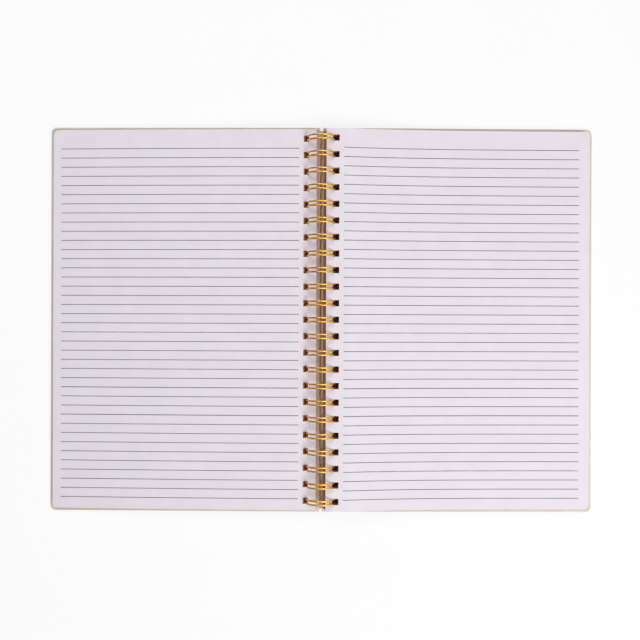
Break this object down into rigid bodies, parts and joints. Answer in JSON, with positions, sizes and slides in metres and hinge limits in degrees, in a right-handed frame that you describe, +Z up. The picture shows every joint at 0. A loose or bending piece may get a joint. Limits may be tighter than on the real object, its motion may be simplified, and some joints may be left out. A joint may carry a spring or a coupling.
{
  "type": "wire-bound notebook",
  "caption": "Open ruled notebook lying flat on a table, with stiff cover boards and leaves that turn on a twin-loop wire.",
  "frame": {"origin": "on the table, under the middle of the spine", "axes": "+X from the left page to the right page, +Y towards the head of the pages, +Z up from the table"},
  "size_m": [0.4226, 0.299, 0.0232],
  "materials": {
    "gold_wire": "gold-coloured plated wire, semi-gloss",
    "cover_board": "matt cream lined board",
    "leaf_paper": "matt, faintly lilac white writing paper with grey-lilac ruling"
  },
  "bodies": {
    "wire": {"twin_loop_wire": "gold_wire"},
    "front_board": {"front_cover": "cover_board"},
    "left_leaves": {"left_pages": "leaf_paper"},
    "back_board": {"back_cover": "cover_board"},
    "right_leaves": {"right_pages": "leaf_paper", "right_top_leaves": "leaf_paper"}
  },
  "joints": [
    {"name": "front_cover_turn", "type": "hinge", "parent": "wire", "child": "front_board", "pos_m": [0, 0, 0.01165], "axis": [0, 1, 0], "range_deg": [0, 180], "deforming": ["right_top_leaves"]},
    {"name": "left_pages_turn", "type": "hinge", "parent": "front_board", "child": "left_leaves", "pos_m": [0, 0, 0.01165], "axis": [0, -1, 0], "range_deg": [-180, 0], "deforming": ["right_top_leaves"]},
    {"name": "back_cover_turn", "type": "hinge", "parent": "wire", "child": "back_board", "pos_m": [0, 0, 0.01165], "axis": [0, -1, 0], "range_deg": [0, 180]},
    {"name": "right_pages_turn", "type": "hinge", "parent": "back_board", "child": "right_leaves", "pos_m": [0, 0, 0.01165], "axis": [0, 1, 0], "range_deg": [-180, 0]}
  ]
}
